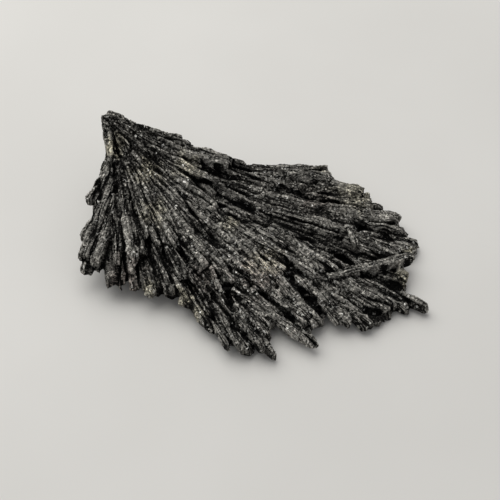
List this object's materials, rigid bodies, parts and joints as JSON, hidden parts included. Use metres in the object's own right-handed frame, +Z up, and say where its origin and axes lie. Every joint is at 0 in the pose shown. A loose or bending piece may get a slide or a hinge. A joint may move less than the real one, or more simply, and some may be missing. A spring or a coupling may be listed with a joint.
{
  "type": "black kyanite fan",
  "caption": "Mineral specimen: dark bladed crystals radiating from a broken stalk into a flat, ragged fan that slopes down to its rim.",
  "frame": {"origin": "centre of the specimen's bounding box, on the surface it rests on", "axes": "+X from the stalk's side towards the tip of the long spike, +Y towards the back edge, +Z up from the surface it rests on"},
  "size_m": [0.1146, 0.0884, 0.0318],
  "materials": {
    "black_kyanite": "dull dark grey mineral with fine pale grains, thin dark grooves and small bright glints"
  },
  "bodies": {
    "root": {"kyanite_fan": "black_kyanite"}
  },
  "joints": []
}
